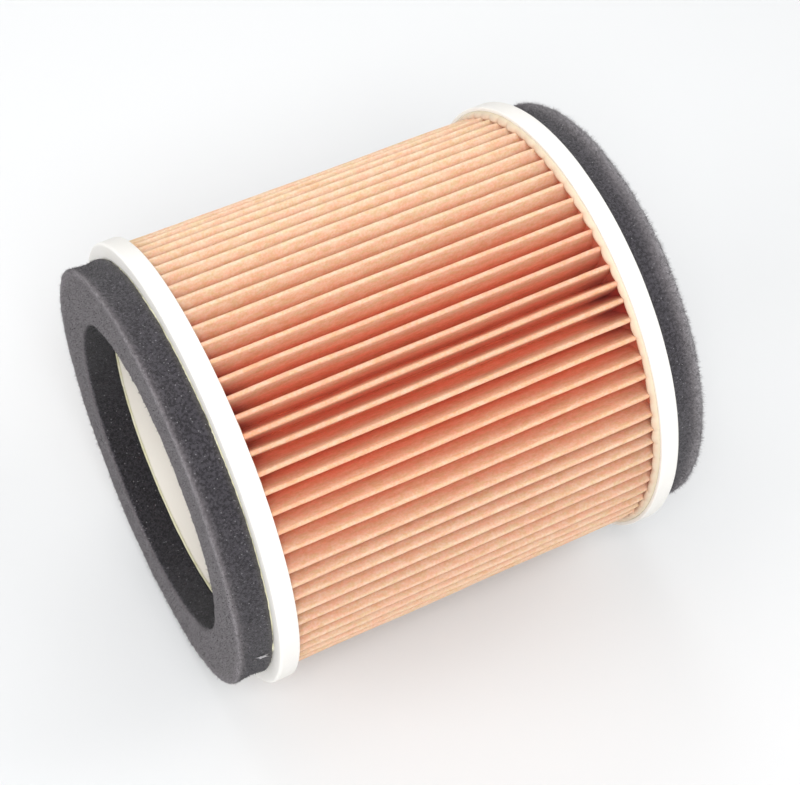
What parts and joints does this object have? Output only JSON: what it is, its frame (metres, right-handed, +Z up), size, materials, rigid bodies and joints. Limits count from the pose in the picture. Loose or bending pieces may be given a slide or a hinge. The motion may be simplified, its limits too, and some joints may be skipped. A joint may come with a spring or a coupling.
{
  "type": "motorcycle air filter",
  "caption": "Round open-bore air filter element: pleated salmon paper between two white end caps, with a thick grey foam gasket ring on each end.",
  "frame": {"origin": "on the ground, under the middle of the filter as it lies on its side", "axes": "+X along the filter's axis from the front end to the rear end, +Z up"},
  "size_m": [0.126, 0.116, 0.116],
  "materials": {
    "foam": "open-cell foam, matt",
    "gasket_glue": "cured glue film",
    "cap_plastic": "moulded, satin",
    "potting_resin": "cast resin",
    "filter_paper": "fibrous, matt",
    "seam_resin": "hardened glue",
    "core_steel": "zinc plated, perforated"
  },
  "bodies": {
    "root": {"front_foam_gasket": "foam", "rear_foam_gasket": "foam", "front_gasket_glue": "gasket_glue", "rear_gasket_glue": "gasket_glue", "front_end_cap": "cap_plastic", "rear_end_cap": "cap_plastic", "front_potting": "potting_resin", "rear_potting": "potting_resin", "pleated_paper": "filter_paper", "pleat_seam_strip": "seam_resin", "support_core": "core_steel"}
  },
  "joints": []
}
